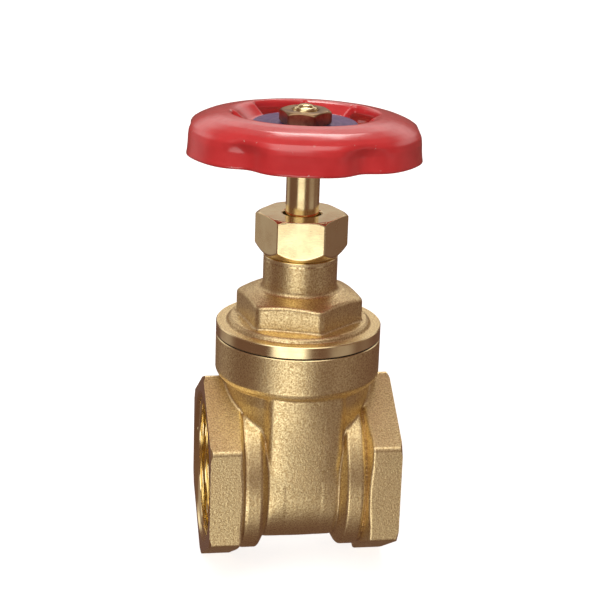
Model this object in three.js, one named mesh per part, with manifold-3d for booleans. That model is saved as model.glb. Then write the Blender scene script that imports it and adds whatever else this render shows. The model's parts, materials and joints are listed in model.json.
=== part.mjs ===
// Threaded brass gate valve, non-rising stem, screwed bonnet.
// Millimetres, +Z up. The pipe runs along X, the stem along Z, and the front faces -Y.
// Origin: on the stem axis, level with the lowest edge of the hexagon ends.
// The pieces are drawn from the crossing of the two axes, then the group is raised.
import * as THREE from 'three';
import { mergeVertices } from 'three/addons/utils/BufferGeometryUtils.js';
import Module from 'manifold-3d';

const wasm = await Module();
wasm.setup();

// ---------------------------------------------------------------- shared dimensions
// A pair such as NECK_Z is [lower, upper]. Turns are in degrees from +X.
const SEG_LARGE = 48;             // facets round a large diameter
const SEG_SMALL = 28;             // facets round a small diameter

const GATE_HALF_T = 8.0;          // half thickness of the wedge at the pipe axis
const GATE_SLOPE = Math.tan(3 * Math.PI / 180);
const NECK_Z = [41.2, 57.1];
const FLANGE_Z = [57.65, 62.4];   // bonnet flange, above the body's neck
const STEM_R = 6.6;
const STEM_THREAD_R = 5.5;        // mean radius of the lifting screw
const STEM_END_R = 4.9;           // end that carries the handwheel nut
const STEM_SQUARE = 10.0;         // square that drives the handwheel
const BONNET_TOP_THREAD_R = 13.5;

// ---------------------------------------------------------------- materials
const CAST = { color: 0xc9a365, roughness: 0.55, metalness: 0.9 };
const TURNED = { color: 0xe0bd72, roughness: 0.25, metalness: 1.0 };
const BRONZE = { color: 0x7a5a38, roughness: 0.4, metalness: 0.9 };
const GASKET = { color: 0x3a2f26, roughness: 0.9, metalness: 0.0 };
const PACKING = { color: 0xe9e6dc, roughness: 0.7, metalness: 0.0 };
const RED_PAINT = { color: 0xd3262e, roughness: 0.2, metalness: 0.0 };
const PLATE_BLUE = { color: 0x4d4a77, roughness: 0.45, metalness: 0.2 };

// ---------------------------------------------------------------- geometry and solids
const rad = (degrees) => degrees * Math.PI / 180;

// closed three.js geometry to a manifold, with its faces turned outwards
function toSolid(geometry) {
  for (const name of Object.keys(geometry.attributes)) {
    if (name !== 'position') geometry.deleteAttribute(name);
  }
  const merged = mergeVertices(geometry, 1e-4);
  const positions = merged.attributes.position.array;
  const index = merged.index.array;
  const corner = (i) => new THREE.Vector3().fromArray(positions, i * 3);
  const triangles = [];
  let volume = 0;
  for (let i = 0; i < index.length; i += 3) {
    const [a, b, c] = index.slice(i, i + 3);
    if (a === b || b === c || a === c) continue;
    triangles.push(a, b, c);
    volume += corner(a).dot(corner(b).cross(corner(c)));
  }
  if (volume < 0) triangles.reverse();
  return new wasm.Manifold(new wasm.Mesh({
    numProp: 3,
    vertProperties: Float32Array.from(positions),
    triVerts: Uint32Array.from(triangles),
  }));
}

function toGeometry(manifold) {
  const { vertProperties, triVerts } = manifold.getMesh();
  const geometry = new THREE.BufferGeometry();
  geometry.setAttribute('position', new THREE.BufferAttribute(vertProperties.slice(), 3));
  geometry.setIndex(new THREE.BufferAttribute(triVerts.slice(), 1));
  geometry.computeVertexNormals();
  return geometry;
}

const lathe = (outline, segments) => new THREE.LatheGeometry(
  outline.map(([radius, along]) => new THREE.Vector2(radius, along)), segments);

// closes a profile of [radius, place along the axis] with flat ends that reach the axis
const closeOnAxis = (profile) => [[0, profile[0][1]], ...profile, [0, profile.at(-1)[1]]];

// full solids turned from an outer profile
const turnedZ = (profile, segments = SEG_LARGE) =>
  toSolid(lathe(closeOnAxis(profile), segments).rotateX(Math.PI / 2));
const turnedX = (profile) =>
  toSolid(lathe(closeOnAxis(profile), SEG_LARGE).rotateZ(-Math.PI / 2));

const rodZ = (radius, bottom, top, segments) =>
  turnedZ([[radius, bottom], [radius, top]], segments);
const rodX = (radius, halfLength) => turnedX([[radius, -halfLength], [radius, halfLength]]);

// ring about Z, turned from a closed outline of [radius, z] clear of the axis
const ringZ = (outline, segments = SEG_LARGE) =>
  toSolid(lathe([...outline, outline[0]], segments).rotateX(Math.PI / 2));
const washerZ = (inner, outer, [bottom, top], segments) =>
  ringZ([[inner, bottom], [outer, bottom], [outer, top], [inner, top]], segments);

// block centred on X = 0
const block = (width, [y0, y1], [z0, z1]) => toSolid(
  new THREE.BoxGeometry(width, y1 - y0, z1 - z0).translate(0, (y0 + y1) / 2, (z0 + z1) / 2));

const extrude = (shape, depth, curveSegments) =>
  new THREE.ExtrudeGeometry(shape, { depth, bevelEnabled: false, curveSegments });

const extrudeZ = (shape, bottom, top) =>
  toSolid(extrude(shape, top - bottom, 6).translate(0, 0, bottom));

// prism along X: the shape's first axis becomes Y, its second Z
const extrudeX = (shape, start, end) => toSolid(extrude(shape, end - start, 10)
  .applyMatrix4(new THREE.Matrix4().set(0, 0, 1, start, 1, 0, 0, 0, 0, 1, 0, 0, 0, 0, 0, 1)));

// prism along Y, centred, symmetric about X = 0; rightSide lists its [x, z] upwards
function symmetricY(rightSide, halfLength) {
  const leftSide = rightSide.map(([x, z]) => [-x, z]).reverse();
  const shape = new THREE.Shape(
    [...leftSide, ...rightSide].map(([x, z]) => new THREE.Vector2(x, z)));
  return toSolid(extrude(shape, 2 * halfLength, 10).applyMatrix4(
    new THREE.Matrix4().set(1, 0, 0, 0, 0, 0, 1, -halfLength, 0, 1, 0, 0, 0, 0, 0, 1)));
}

// a solid together with its mirror image
const bothEnds = (manifold) => manifold.add(manifold.mirror([1, 0, 0]));
const frontAndBack = (manifold) => manifold.add(manifold.mirror([0, 1, 0]));

// rounded hexagon; turn is the direction of one flat's normal
function hexagon(acrossFlats, cornerR, turn) {
  const halfSide = Math.PI / 6;   // half the angle that one side spans
  const centreR = (acrossFlats / 2 - cornerR) / Math.cos(halfSide);
  const points = [];
  for (let k = 0; k < 6; k++) {
    const middle = rad(turn) + halfSide + k * 2 * halfSide;
    for (let j = -2; j <= 2; j++) {
      const angle = middle + j / 2 * halfSide;
      points.push(new THREE.Vector2(
        centreR * Math.cos(middle) + cornerR * Math.cos(angle),
        centreR * Math.sin(middle) + cornerR * Math.sin(angle)));
    }
  }
  return new THREE.Shape(points);
}

// ---------------------------------------------------------------- body
const FACE_TO_FACE = 76.0;        // end face to end face along X
const END_X = FACE_TO_FACE / 2;
const HEX_AF = 68.8;              // hexagon ends, flats to the front and back
const HEX_CORNER_R = 1.6;
const HEX_INNER_X = 23.2;         // where the hexagon ends towards the middle
const HEX_CONE_R = 39.8;          // beyond the hexagon's corners
// pipe axis above the origin: the hexagon stands on a corner
const PIPE_AXIS_Z = (HEX_AF / 2 - HEX_CORNER_R) / Math.cos(Math.PI / 6) + HEX_CORNER_R;
const GROOVE_R = 32.0;            // waist between hexagon and collar
const COLLAR_R = 33.4;
const COLLAR_X = [17.4, 22.6];
const COLLAR_EDGE = 0.8;
const COLLAR_ROOT_X = 27;         // inside the hexagon
const CHAMBER_R = 29.0;           // gate chamber, outside
const CHAMBER_HALF_X = 14.4;
const CHAMBER_TOP = 44;
const CHAMBER_LAP = 0.2;          // the chamber runs this far into the ends
const NECK_R = 33.0;
const FLARE_R = 29.6;
// right side of the outer flare from chamber to neck: [x, z]
const FLARE = [
  [13.6, -6], [13.6, 4], [14.6, 15.5], [20, 25], [27.5, 34.6], [31.2, 40.4], [31.6, 42.5],
];

const PORT_THREAD_R = 29.2;       // mean radius of the 2 inch pipe thread
const PORT_MOUTH_R = 31.0;
const PORT_MOUTH_DEPTH = 2.0;
const PORT_DEPTH = 19.5;
const BORE_R = 21.6;              // flow bore through the seats
const BORE_HALF_X = 30;
const CAVITY_R = 26.5;            // gate chamber, inside
const CAVITY_HALF_X = 10.5;
const CAVITY_TOP = 50;
const SEAT_RIM_R = 25.6;
const SEAT_GAP = 0.15;            // between each seat and the gate
const SEAT_GAP_Z = [-27, 60];
const RIB_W = 3.0;                // guide ribs
const RIB_Y = [22.5, 26.9];
const RIB_Z = [-8, 42];
const RIB_FLARE_Y = [24.3, 32.3]; // their upper part, in the inner flare
const RIB_FLARE_BOTTOM = 12;
// right side of the inner flare under the neck: [x, z]
const INNER_FLARE = [[10.4, 22], [25.4, 40.5], [25.4, CAVITY_TOP]];
const INNER_FLARE_R = 25.6;
const NECK_THREAD_R = 28.9;       // female thread that takes the bonnet
const NECK_THREAD_BOTTOM = 43.8;
const NECK_CHAMFER = 0.8;

// half thickness of the wedge at height z
const wedgeHalf = (z) => GATE_HALF_T + z * GATE_SLOPE;

// chamber section, [y, z]: round underneath, straight walls above
function chamberShape(radius, top) {
  const shape = new THREE.Shape();
  shape.moveTo(-radius, top);
  shape.lineTo(-radius, 0);
  shape.absarc(0, 0, radius, Math.PI, 2 * Math.PI, false);
  shape.lineTo(radius, top);
  shape.closePath();
  return shape;
}

// hexagon and collar at +X
function bodyEnd() {
  // fine chamfer at the end face, conical chamfer on the inner side
  const hexLimit = turnedX([
    [GROOVE_R, HEX_INNER_X], [HEX_CONE_R, 28.2],
    [HEX_CONE_R, END_X - 0.9], [38.3, END_X],
  ]);
  const collar = turnedX([
    [CHAMBER_R, CHAMBER_HALF_X], [COLLAR_R - 0.9, COLLAR_X[0]],
    [COLLAR_R, COLLAR_X[0] + COLLAR_EDGE], [COLLAR_R, COLLAR_X[1] - COLLAR_EDGE],
    [GROOVE_R, COLLAR_X[1] + COLLAR_EDGE], [GROOVE_R, COLLAR_ROOT_X],
  ]);
  return extrudeX(hexagon(HEX_AF, HEX_CORNER_R, 0), HEX_INNER_X, END_X)
    .intersect(hexLimit)
    .add(collar);
}

function bodyOutside() {
  const chamberHalfX = CHAMBER_HALF_X + CHAMBER_LAP;
  const flare = symmetricY(FLARE, 33).intersect(rodZ(FLARE_R, -8, 42.6));
  const neck = turnedZ([
    [30.6, NECK_Z[0] - 1.2], [32.1, NECK_Z[0] - 0.3],
    [NECK_R, NECK_Z[0] + 1.4], [NECK_R, NECK_Z[1]],
  ]);
  return bothEnds(bodyEnd())
    .add(extrudeX(chamberShape(CHAMBER_R, CHAMBER_TOP), -chamberHalfX, chamberHalfX))
    .add(flare)
    .add(neck);
}

// gate chamber, inside, less the seat rims and guide ribs that stand in it
function bodyCavity() {
  const gateSpace = symmetricY(
    SEAT_GAP_Z.map((z) => [wedgeHalf(z) + SEAT_GAP, z]), 40);
  const rims = rodX(SEAT_RIM_R, CAVITY_HALF_X + 1).subtract(gateSpace);
  return extrudeX(chamberShape(CAVITY_R, CAVITY_TOP), -CAVITY_HALF_X, CAVITY_HALF_X)
    .subtract(rims)
    .subtract(frontAndBack(block(RIB_W, RIB_Y, RIB_Z)));
}

function bodyHollow() {
  const port = turnedX([
    [PORT_THREAD_R, END_X - PORT_DEPTH], [PORT_THREAD_R, END_X - PORT_MOUTH_DEPTH],
    [PORT_MOUTH_R, END_X], [PORT_MOUTH_R + 1, END_X + 1],
  ]);
  const flareRibs = frontAndBack(block(RIB_W, RIB_FLARE_Y, [RIB_FLARE_BOTTOM, RIB_Z[1]]));
  const innerFlare = symmetricY(INNER_FLARE, 33)
    .intersect(rodZ(INNER_FLARE_R, 18, CAVITY_TOP))
    .subtract(flareRibs);
  const neckThread = turnedZ([
    [NECK_THREAD_R, NECK_THREAD_BOTTOM], [NECK_THREAD_R, NECK_Z[1] - NECK_CHAMFER],
    [NECK_THREAD_R + NECK_CHAMFER, NECK_Z[1]],
    [NECK_THREAD_R + 2 * NECK_CHAMFER, NECK_Z[1] + NECK_CHAMFER],
  ]);
  return rodX(BORE_R, BORE_HALF_X)
    .add(bothEnds(port))
    .add(bodyCavity())
    .add(innerFlare)
    .add(neckThread);
}

const body = () => bodyOutside().subtract(bodyHollow());

// ---------------------------------------------------------------- gate (wedge)
const GATE_R = 23.8;
const GATE_Z = [-24, 24];
const GATE_LIMIT_R = 24.5;        // trims the wedge about the stem axis
const LUG_R = 9.6;                // boss on top that takes the stem
const LUG_TOP = 30.5;
const LUG_EDGE = 1.2;
const LUG_W = 16.8;               // along X
const POCKET_BOTTOM = -21.6;
const POCKET_R = STEM_THREAD_R + 0.2;
const SLOT_W = 4.4;               // side slots that run on the guide ribs
const SLOT_Y = [21.4, 27.4];

function gate() {
  const wedge = symmetricY(GATE_Z.map((z) => [wedgeHalf(z), z]), 25)
    .intersect(rodX(GATE_R, 12))
    .intersect(rodZ(GATE_LIMIT_R, -30, 30));
  const lug = turnedZ([
    [LUG_R - 0.3, 10], [LUG_R, 20], [LUG_R, LUG_TOP - LUG_EDGE], [LUG_R - LUG_EDGE, LUG_TOP],
  ], SEG_SMALL).intersect(block(LUG_W, [-20, 20], [0, 60]));
  const stemPocket = turnedZ([
    [4.4, POCKET_BOTTOM], [POCKET_R, POCKET_BOTTOM + 1.5],
    [POCKET_R, LUG_TOP - 1], [POCKET_R + 1, LUG_TOP], [POCKET_R + 1, LUG_TOP + 1],
  ], SEG_SMALL);
  return wedge
    .add(lug)
    .subtract(stemPocket)
    .subtract(frontAndBack(block(SLOT_W, SLOT_Y, [-30, 30])));
}

// ---------------------------------------------------------------- stem
const STEM_BOTTOM = 24.0;
const STEM_TIP = 150.6;
const STEM_CHAMFER = 1.3;
const STEM_RELIEF_R = 4.7;        // groove above the lifting screw
const STEM_COLLAR_R = 10.8;
const STEM_COLLAR_Z = [80.45, 83.3];
const STEM_SHOULDER = 133.8;
const STEM_EDGE = 0.4;            // chamfer on collar and shoulder
const STEM_SQUARE_Z = [132, 142.3];

function stem() {
  const shaft = turnedZ([
    [STEM_THREAD_R - STEM_CHAMFER, STEM_BOTTOM], [STEM_THREAD_R, STEM_BOTTOM + STEM_CHAMFER],
    [STEM_THREAD_R, 73.5], [STEM_RELIEF_R, 74.2], [STEM_RELIEF_R, 75.6], [STEM_R, 76.4],
    [STEM_R, STEM_COLLAR_Z[0]],
    [STEM_COLLAR_R - STEM_EDGE, STEM_COLLAR_Z[0]],
    [STEM_COLLAR_R, STEM_COLLAR_Z[0] + STEM_EDGE],
    [STEM_COLLAR_R, STEM_COLLAR_Z[1] - STEM_EDGE],
    [STEM_COLLAR_R - STEM_EDGE, STEM_COLLAR_Z[1]],
    [STEM_R, STEM_COLLAR_Z[1]],
    [STEM_R, STEM_SHOULDER - STEM_EDGE], [STEM_R - STEM_EDGE, STEM_SHOULDER],
  ], SEG_SMALL);
  const square = block(STEM_SQUARE, [-STEM_SQUARE / 2, STEM_SQUARE / 2], STEM_SQUARE_Z)
    .intersect(rodZ(STEM_R - 0.05, 130, 145, SEG_SMALL));
  const end = turnedZ([
    [STEM_END_R, 140], [STEM_END_R, 148.9], [4.0, 149.5], [3.2, 149.6], [2.6, 150.2],
    [1.2, STEM_TIP],
  ], SEG_SMALL);
  return shaft.add(square).add(end);
}

// ---------------------------------------------------------------- bonnet
const FLANGE_R = 33.0;
const BONNET_BOTTOM = 45.0;
const BONNET_THREAD_R = 28.6;
const BONNET_CHAMFER = 1.2;
const BONNET_RELIEF_R = 27.6;     // groove between thread and flange
const BONNET_HEX_AF = 45.0;
const BONNET_HEX_CORNER_R = 1.6;
const BONNET_HEX_TURN = -108.7;
const BONNET_HEX_TOP = 76.2;
const BONNET_NECK_R = 14.7;
const BONNET_NECK_TOP = 90.5;
const BONNET_TOP = 100.4;
const PACKING_BOX_R = 10.0;
const PACKING_BOX_BOTTOM = 86;
// domed hollow, then the bore for retaining ring and stem collar: [radius, z]
const BONNET_HOLLOW = [
  [25.0, BONNET_BOTTOM - 1], [25.0, 55], [23.6, 58], [20.8, 62], [17.0, 66],
  [12.4, 70.6], [12.4, 83.5],
];

function bonnet() {
  const base = turnedZ([
    [BONNET_THREAD_R - BONNET_CHAMFER, BONNET_BOTTOM],
    [BONNET_THREAD_R, BONNET_BOTTOM + BONNET_CHAMFER],
    [BONNET_THREAD_R, 55.9], [BONNET_RELIEF_R, 56.4], [BONNET_RELIEF_R, FLANGE_Z[0]],
    [FLANGE_R, FLANGE_Z[0]], [FLANGE_R, FLANGE_Z[1]],
    [28.6, FLANGE_Z[1] + 0.2], [28.0, 63.9], [27.0, 64.4], [18, 64.6], [18, 70],
  ]);
  const hexLimit = turnedZ([
    [30, 61], [30, 72.3], [25.2, 73.9], [17.2, BONNET_HEX_TOP],
    [16.0, BONNET_HEX_TOP + 0.5], [15.0, 77.4],
  ]);
  const hexShape = hexagon(BONNET_HEX_AF, BONNET_HEX_CORNER_R, BONNET_HEX_TURN);
  const hex = extrudeZ(hexShape, 62.0, 77.5).intersect(hexLimit);
  const neck = turnedZ([
    [BONNET_NECK_R, 70], [BONNET_NECK_R, BONNET_NECK_TOP - 0.5],
    [BONNET_NECK_R - 0.5, BONNET_NECK_TOP], [BONNET_TOP_THREAD_R, BONNET_NECK_TOP],
    [BONNET_TOP_THREAD_R, BONNET_TOP - 0.8], [BONNET_TOP_THREAD_R - 0.8, BONNET_TOP],
  ]);
  const packingBox = turnedZ([
    [PACKING_BOX_R, PACKING_BOX_BOTTOM], [PACKING_BOX_R, BONNET_TOP - 0.6],
    [PACKING_BOX_R + 0.6, BONNET_TOP], [PACKING_BOX_R + 0.6, BONNET_TOP + 1],
  ], SEG_SMALL);
  return base
    .add(hex)
    .add(neck)
    .subtract(turnedZ(BONNET_HOLLOW))
    .subtract(rodZ(STEM_R + 0.15, 80, 90, SEG_SMALL))
    .subtract(packingBox);
}

// ---------------------------------------------------------------- gasket, rings and packing
const GASKET_RADII = [29.2, 32.4];
const GASKET_GAP = 0.05;          // to the neck below and the flange above
const RETAINER_R = 12.2;
const RETAINER_Z = [76.4, 80.2];
const RETAINER_SLOT = { width: 2.4, y: [9.1, 12.5], z: [76, 77.8] };
const WASHER_R = 9.8;
const WASHER_Z = [86.1, 87.1];
const PACKING_R = 9.88;
const PACKING_BOTTOM = 87.2;
const PACKING_H = 3.4;
const PACKING_GAP = 0.1;
const PACKING_COUNT = 3;
const FOLLOWER_BORE_R = STEM_R + 0.2;
const FOLLOWER_Z = [97.8, 103.1];

const bonnetGasket = () =>
  washerZ(...GASKET_RADII, [NECK_Z[1] + GASKET_GAP, FLANGE_Z[0] - GASKET_GAP]);

// screwed in from below: it keeps the stem's collar in the bonnet
function retainingRing() {
  const { width, y, z } = RETAINER_SLOT;
  return washerZ(STEM_R + 0.3, RETAINER_R, RETAINER_Z, SEG_SMALL)
    .subtract(frontAndBack(block(width, y, z)));
}

const packingWasher = () => washerZ(STEM_R + 0.2, WASHER_R, WASHER_Z, SEG_SMALL);

function packingRing(k) {
  const bottom = PACKING_BOTTOM + k * (PACKING_H + PACKING_GAP);
  return washerZ(STEM_R + 0.1, PACKING_R, [bottom, bottom + PACKING_H], SEG_SMALL);
}

const glandFollower = () => ringZ([
  [FOLLOWER_BORE_R, FOLLOWER_Z[0]], [9.7, FOLLOWER_Z[0]], [9.7, 100.6], [12.4, 100.6],
  [12.4, 102.6], [12.0, FOLLOWER_Z[1]], [FOLLOWER_BORE_R, FOLLOWER_Z[1]],
], SEG_SMALL);

// ---------------------------------------------------------------- gland nut
const GLAND_AF = 32.0;
const GLAND_CORNER_R = 0.5;
const GLAND_Z = [90.8, 107.3];
const GLAND_TURN = -99.3;
const GLAND_LIMIT_R = 19.5;       // beyond the nut's corners
const GLAND_THREAD_R = BONNET_TOP_THREAD_R + 0.2;
const GLAND_ROOF = 103.3;         // inside, above the follower

function glandNut() {
  const [bottom, top] = GLAND_Z;
  const limit = turnedZ([
    [14.8, bottom], [GLAND_LIMIT_R, bottom + 4.9], [GLAND_LIMIT_R, top - 1.5], [16.9, top],
  ]);
  const bore = turnedZ([
    [14.3, bottom - 1], [14.3, bottom + 0.2], [GLAND_THREAD_R, bottom + 0.9],
    [GLAND_THREAD_R, GLAND_ROOF], [7.5, GLAND_ROOF], [7.5, 106.9], [7.9, top], [7.9, 108.5],
  ], SEG_SMALL);
  return extrudeZ(hexagon(GLAND_AF, GLAND_CORNER_R, GLAND_TURN), bottom, top)
    .intersect(limit)
    .subtract(bore);
}

// ---------------------------------------------------------------- handwheel
const WHEEL_R = 46.9;
const WHEEL_NOTCH = 4.3;          // depth of the grip notches
const WHEEL_NOTCH_W = 8.5;        // their half width, degrees
const WHEEL_LOBES = 6;
const WHEEL_TURN = -98.1;         // direction of one lobe
const WHEEL_STEPS = 96;           // points round the lobed outline
const WHEEL_BOTTOM = 131.4;
const WHEEL_LEAN = 2.3;           // the rim is this far out of true with the hub, degrees
const WHEEL_LEAN_TURN = -108;     // direction of its high side
const LEAN_START_R = 21.2;        // the lean grows from here
const LEAN_SPAN = 8.4;            // and is full this much further out
const SKIRT_INSET = 3.2;          // the rim's wall thickness
// lobed layers of the rim: [inset, bottom, top]
const RIM_LAYERS = [[0, WHEEL_BOTTOM, 140.6], [1.0, 140.5, 141.9], [2.6, 141.8, 142.9]];
// upper side of the domed web: [radius, z]
const WEB_TOP = [
  [38, 139], [41.6, 142.2], [40.2, 143.7], [36.5, 145.6], [33, 146.7], [29.6, 147.3],
  [27.3, 146.9], [25.0, 145.2], [22.6, 142.9], [21.2, 142.4],
];
// underside of the web: [radius, z]
const WEB_UNDERSIDE = [
  [38.2, 137], [38.2, 139.6], [36, 141.9], [33, 143.3], [29.8, 144.0], [27.8, 143.2],
  [24.4, 140.3], [21.5, 139.2],
];
const HUB = [[9.6, 134.0], [10.4, 134.8], [11.4, 140.4]];   // [radius, z]
const HUB_SQUARE = STEM_SQUARE + 0.3;
const WINDOW_COUNT = 4;
const WINDOW_TURN = 104.7;        // middle of the first window
const WINDOW_HALF_ANGLE = 23;     // at the outer arc, degrees
const WINDOW_INNER_WIDENING = 1.05;
const WINDOW_R = [18.0, 28.6];

function wheelOutline(inset) {
  const pitch = 2 * Math.PI / WHEEL_LOBES;
  const points = [];
  for (let k = 0; k < WHEEL_STEPS; k++) {
    const angle = rad(WHEEL_TURN) + k / WHEEL_STEPS * 2 * Math.PI;
    const turns = (angle - rad(WHEEL_TURN)) / pitch;
    const fromNotch = (turns - Math.floor(turns) - 0.5) * pitch;
    const notch = WHEEL_NOTCH * Math.exp(-((fromNotch / rad(WHEEL_NOTCH_W)) ** 2));
    const radius = WHEEL_R - notch - inset;
    points.push(new THREE.Vector2(radius * Math.cos(angle), radius * Math.sin(angle)));
  }
  return new THREE.Shape(points);
}

function wheelWindow(k) {
  const middle = rad(WINDOW_TURN + 360 / WINDOW_COUNT * k);
  const outerHalf = rad(WINDOW_HALF_ANGLE);
  const innerHalf = outerHalf * WINDOW_INNER_WIDENING;
  const shape = new THREE.Shape();
  shape.absarc(0, 0, WINDOW_R[1], middle - outerHalf, middle + outerHalf, false);
  shape.absarc(0, 0, WINDOW_R[0], middle + innerHalf, middle - innerHalf, true);
  shape.closePath();
  return extrudeZ(shape, 136, 149);
}

// tilts the rim; the hub and the seat of the plate stay square to the stem
function leanRim(point) {
  const [x, y] = point;
  const turn = rad(WHEEL_LEAN_TURN);
  const t = Math.min(1, Math.max(0, (Math.hypot(x, y) - LEAN_START_R) / LEAN_SPAN));
  const share = t * t * (3 - 2 * t);
  point[2] += Math.tan(rad(WHEEL_LEAN)) * share * (x * Math.cos(turn) + y * Math.sin(turn));
}

function handwheel() {
  let wheel = RIM_LAYERS
    .map(([inset, bottom, top]) => extrudeZ(wheelOutline(inset), bottom, top))
    .reduce((rim, layer) => rim.add(layer))
    .subtract(rodZ(37, 130, 150))
    .add(turnedZ(WEB_TOP))
    .subtract(extrudeZ(wheelOutline(SKIRT_INSET), WHEEL_BOTTOM - 1, 138.8))
    .subtract(turnedZ(WEB_UNDERSIDE))
    .add(turnedZ(HUB, SEG_SMALL))
    .subtract(block(HUB_SQUARE, [-HUB_SQUARE / 2, HUB_SQUARE / 2], [128, 148]));
  for (let k = 0; k < WINDOW_COUNT; k++) wheel = wheel.subtract(wheelWindow(k));
  return wheel.warp(leanRim);
}

// ---------------------------------------------------------------- handwheel plate and nut
const PLATE_RADII = [6.2, 20.6];
const PLATE_Z = [142.55, 143.1];
const NUT_AF = 18.2;
const NUT_CORNER_R = 0.4;
const NUT_Z = [143.2, 148.5];
const NUT_TURN = -108.5;
const NUT_LIMIT_R = 10.9;         // beyond the nut's corners
const NUT_CHAMFER_H = 1.1;
const NUT_BORE_R = STEM_END_R + 0.15;
const NUT_MOUTH_R = STEM_END_R + 0.9;

const handwheelPlate = () => washerZ(...PLATE_RADII, PLATE_Z);

function handwheelNut() {
  const [bottom, top] = NUT_Z;
  const limit = turnedZ([
    [9.1, bottom], [NUT_LIMIT_R, bottom + NUT_CHAMFER_H],
    [NUT_LIMIT_R, top - NUT_CHAMFER_H], [8.9, top],
  ], SEG_SMALL);
  const bore = turnedZ([
    [NUT_BORE_R, bottom - 1], [NUT_BORE_R, top - 0.7], [NUT_MOUTH_R, top],
    [NUT_MOUTH_R, top + 1],
  ], SEG_SMALL);
  return extrudeZ(hexagon(NUT_AF, NUT_CORNER_R, NUT_TURN), bottom, top)
    .intersect(limit)
    .subtract(bore);
}

// ---------------------------------------------------------------- assembly
const group = new THREE.Group();
function addPart(name, manifold, finish) {
  const mesh = new THREE.Mesh(toGeometry(manifold), new THREE.MeshStandardMaterial(finish));
  mesh.name = name;
  group.add(mesh);
}

addPart('body', body(), CAST);
addPart('gate_wedge', gate(), CAST);
addPart('stem', stem(), TURNED);
addPart('bonnet', bonnet(), CAST);
addPart('bonnet_gasket', bonnetGasket(), GASKET);
addPart('stem_retaining_ring', retainingRing(), TURNED);
addPart('packing_base_washer', packingWasher(), TURNED);
for (let k = 0; k < PACKING_COUNT; k++) {
  addPart(`packing_ring_${k + 1}`, packingRing(k), PACKING);
}
addPart('gland_follower', glandFollower(), TURNED);
addPart('gland_nut', glandNut(), TURNED);
addPart('handwheel', handwheel(), RED_PAINT);
addPart('handwheel_plate', handwheelPlate(), PLATE_BLUE);
addPart('handwheel_nut', handwheelNut(), BRONZE);
group.position.set(0, 0, PIPE_AXIS_Z);

export default group;
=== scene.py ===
"""Brass gate valve with a red handwheel.

The pipe runs along X, the stem stands along +Z and the gate slides up and down between two seats
that face along X. Shapes are drawn in millimetres about the crossing of the pipe and stem axes;
finish_piece lifts them onto the CAD pieces and scales them to metres. Cast pieces are distance
fields (negative inside) turned into meshes, then machined with booleans; the rest are turned.
"""

import json
import math

import bmesh
import bpy
import numpy as np
from mathutils import Matrix, Vector


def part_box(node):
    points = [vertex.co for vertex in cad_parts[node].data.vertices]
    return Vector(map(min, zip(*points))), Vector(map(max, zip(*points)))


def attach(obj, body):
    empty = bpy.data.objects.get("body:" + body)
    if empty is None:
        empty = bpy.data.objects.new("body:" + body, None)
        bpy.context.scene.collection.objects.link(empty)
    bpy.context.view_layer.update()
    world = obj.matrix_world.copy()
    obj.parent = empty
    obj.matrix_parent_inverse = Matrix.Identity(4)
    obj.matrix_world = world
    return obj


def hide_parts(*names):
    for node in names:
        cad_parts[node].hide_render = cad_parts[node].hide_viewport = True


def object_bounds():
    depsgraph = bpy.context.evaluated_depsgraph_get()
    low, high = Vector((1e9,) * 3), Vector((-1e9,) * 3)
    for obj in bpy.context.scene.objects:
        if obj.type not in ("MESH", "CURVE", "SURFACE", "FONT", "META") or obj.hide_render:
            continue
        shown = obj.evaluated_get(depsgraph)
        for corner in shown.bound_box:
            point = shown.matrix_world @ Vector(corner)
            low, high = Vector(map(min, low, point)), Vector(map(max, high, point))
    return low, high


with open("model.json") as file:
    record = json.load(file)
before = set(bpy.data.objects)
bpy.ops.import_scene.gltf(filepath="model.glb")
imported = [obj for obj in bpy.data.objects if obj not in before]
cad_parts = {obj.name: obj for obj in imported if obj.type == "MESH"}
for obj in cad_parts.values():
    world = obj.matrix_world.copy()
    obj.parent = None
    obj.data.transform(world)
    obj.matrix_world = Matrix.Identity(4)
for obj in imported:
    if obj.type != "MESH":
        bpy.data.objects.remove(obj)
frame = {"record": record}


def scene_corners():
    return [[float(v) for v in corner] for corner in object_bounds()]


cad_box = scene_corners()
BODY_OF = {node: body for body, nodes in frame["record"]["behaviour"]["bodies"].items()
           for node in nodes}

TAU = 2 * math.pi
MM = 0.001
STEM_FOOT = 24.0
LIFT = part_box("stem")[0][2] * 1000.0 - STEM_FOOT    # height of the pipe axis above the origin
GATE_ANGLE = math.radians(3)                        # lean of each gate face and seat
GATE_SLOPE = math.tan(GATE_ANGLE)


# ==============================================================================================
# Distance fields
# ==============================================================================================
CURVE_STEP = 0.1


def smin(a, b, blend):
    """Union of two fields with a fillet about as wide as blend."""
    h = np.clip(0.5 + 0.5 * (b - a) / blend, 0.0, 1.0)
    return b * (1 - h) + a * h - blend * h * (1 - h)


def smax(a, b, blend):
    """Intersection of two fields with a softened edge."""
    return -smin(-a, -b, blend)


def rounded_corner(a, b, radius):
    """Intersection of two fields with a true round of this radius."""
    a, b = a + radius, b + radius
    outside = np.hypot(np.maximum(a, 0), np.maximum(b, 0))
    return np.minimum(np.maximum(a, b), 0) + outside - radius


def ease(t):
    t = np.clip(t, 0, 1)
    return t * t * (3 - 2 * t)


def hexagon(x, y, turn, blend):
    """Distance from the centre to the nearest of six flats, with softened corners."""
    result = None
    for i in range(3):
        angle = turn + i * math.pi / 3
        flat = np.abs(x * math.cos(angle) + y * math.sin(angle))
        result = flat if result is None else smax(result, flat, blend)
    return result


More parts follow.
